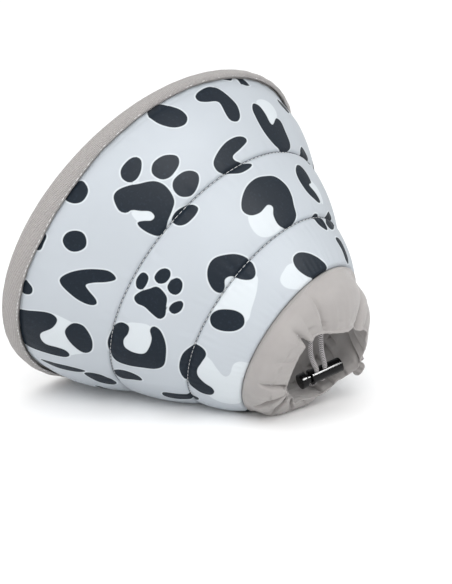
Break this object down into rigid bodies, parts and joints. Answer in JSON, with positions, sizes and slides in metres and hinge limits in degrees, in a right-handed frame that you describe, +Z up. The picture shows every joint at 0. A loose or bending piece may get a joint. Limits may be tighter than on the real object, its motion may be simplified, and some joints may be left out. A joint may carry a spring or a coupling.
{
  "type": "elizabethan collar",
  "caption": "Soft quilted recovery cone for a cat, lying on its side, with a bound rim, a gathered neck cuff and a drawcord held by a sprung cord lock.",
  "frame": {"origin": "on the ground plane, under the centre of the collar's box as it lies on its side", "axes": "+Z up off the surface it lies on; +X from the wide rim towards the neck opening, level with the ground; +Y across the rim, its widest way"},
  "size_m": [0.1746, 0.2228, 0.178],
  "materials": {
    "printed_polyester": "light grey-blue woven polyester printed with charcoal spots and paw pads, padded and quilted",
    "binding_tape": "taupe twill tape, folded and stitched",
    "cuff_cloth": "plain taupe stretch cotton, gathered",
    "fastening_strip": "grey hook strip end",
    "black_plastic": "glossy black moulded plastic",
    "elastic_cord": "grey braided round elastic"
  },
  "bodies": {
    "collar": {"padded_cone": "printed_polyester", "rim_binding": "binding_tape", "neck_cuff": "cuff_cloth", "closure_tab": "fastening_strip", "cord_lock_barrel": "black_plastic", "drawcord": "elastic_cord", "cord_knot": "elastic_cord"},
    "button": {"cord_lock_button": "black_plastic"}
  },
  "joints": [
    {"name": "button_slide", "type": "slide", "parent": "collar", "child": "button", "axis": [0.4399, 0.8595, 0.2602], "range_m": [0, 0.0022], "stiffness_N_per_m": 400, "springref_m": -0.002}
  ]
}
